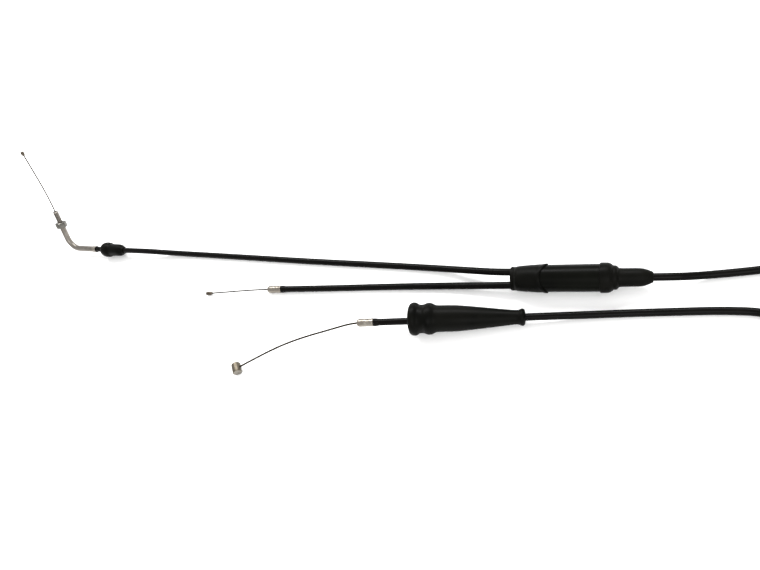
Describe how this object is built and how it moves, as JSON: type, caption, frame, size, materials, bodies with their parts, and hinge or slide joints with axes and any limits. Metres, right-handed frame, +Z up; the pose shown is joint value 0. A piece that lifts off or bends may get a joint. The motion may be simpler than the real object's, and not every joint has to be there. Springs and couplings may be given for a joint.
{
  "type": "throttle cable",
  "caption": "Motorcycle throttle cable with a splitter: one cable from the twist grip pulls a carburettor cable and an oil pump cable",
  "frame": {"origin": "centre of the splitter's smooth body, on its axis", "axes": "+X along the splitter towards the main cable, +Z up from the surface that the cable lies on, +Y to the side that the carburettor cable leaves on"},
  "size_m": [0.6731, 0.168, 0.0979],
  "materials": {
    "black_sheath": "extruded, slightly glossy",
    "black_rubber": "moulded, matt",
    "black_plastic": "moulded",
    "zinc_steel": "zinc plated",
    "wire_steel": "stranded, oiled",
    "cast_nipple": "cast, dull"
  },
  "bodies": {
    "casing": {"splitter_body": "black_plastic", "splitter_branch_plug": "black_plastic", "splitter_main_plug": "black_plastic", "splitter_branch_cover": "black_rubber", "splitter_main_cover": "black_rubber", "main_sheath_ferrule": "zinc_steel", "main_wire_in_splitter": "wire_steel", "carb_wire_in_splitter": "wire_steel", "pump_wire_in_splitter": "wire_steel", "carb_branch_sheath": "black_sheath", "pump_branch_sheath": "black_sheath", "main_sheath_run_out": "black_sheath", "main_sheath_coil": "black_sheath", "main_sheath_run_back": "black_sheath", "grip_sheath_end": "black_sheath", "grip_ferrule": "zinc_steel", "grip_inner_wire": "wire_steel", "pump_ferrule": "zinc_steel", "pump_inner_wire": "wire_steel", "carb_sheath_end": "black_sheath", "carb_crimp_sleeve": "zinc_steel", "carb_elbow_tube": "zinc_steel", "carb_threaded_end": "zinc_steel", "carb_inner_wire": "wire_steel"},
    "slider": {"splitter_slider": "black_plastic", "main_slider_nipple": "cast_nipple", "carb_slider_nipple": "cast_nipple", "pump_slider_nipple": "cast_nipple"},
    "grip_nipple": {"grip_barrel_nipple": "cast_nipple"},
    "carb_end_nipple": {"carb_nipple": "cast_nipple"},
    "pump_end_nipple": {"pump_nipple": "cast_nipple"},
    "boot": {"grip_boot": "black_rubber"},
    "dust_cap": {"carb_dust_cap": "black_rubber"},
    "lock_nut": {"carb_lock_nut": "zinc_steel"}
  },
  "joints": [
    {"name": "grip_pull", "type": "slide", "parent": "casing", "child": "grip_nipple", "axis": [-0.8488, -0.5287, 0], "range_m": [0, 0.03], "deforming": ["grip_inner_wire"]},
    {"name": "splitter_slider_slide", "type": "slide", "parent": "casing", "child": "slider", "axis": [1, 0, 0], "range_m": [0, 0.03], "deforming": ["main_wire_in_splitter", "carb_wire_in_splitter", "pump_wire_in_splitter"]},
    {"name": "carb_wire_retract", "type": "slide", "parent": "casing", "child": "carb_end_nipple", "axis": [0.0258, -0.4185, -0.9078], "range_m": [0, 0.03], "deforming": ["carb_inner_wire"]},
    {"name": "pump_wire_retract", "type": "slide", "parent": "casing", "child": "pump_end_nipple", "axis": [0.9982, 0.0593, 0], "range_m": [0, 0.03], "deforming": ["pump_inner_wire"]},
    {"name": "grip_boot_slide", "type": "slide", "parent": "casing", "child": "boot", "axis": [-0.9963, -0.0761, 0.0389], "range_m": [0, 0.036]},
    {"name": "carb_dust_cap_slide", "type": "slide", "parent": "casing", "child": "dust_cap", "axis": [-0.9974, 0.0722, 0], "range_m": [-0.014, 0.018]},
    {"name": "lock_nut_turn", "type": "hinge", "parent": "casing", "child": "lock_nut", "pos_m": [-0.4817, 0.0429, -0.00265], "axis": [0.035, 0.4835, 0.8746], "continuous": true}
  ],
  "couplings": [
    {"joint": "splitter_slider_slide", "follows": "grip_pull", "ratio": 1},
    {"joint": "carb_wire_retract", "follows": "grip_pull", "ratio": 1},
    {"joint": "pump_wire_retract", "follows": "grip_pull", "ratio": 1}
  ]
}
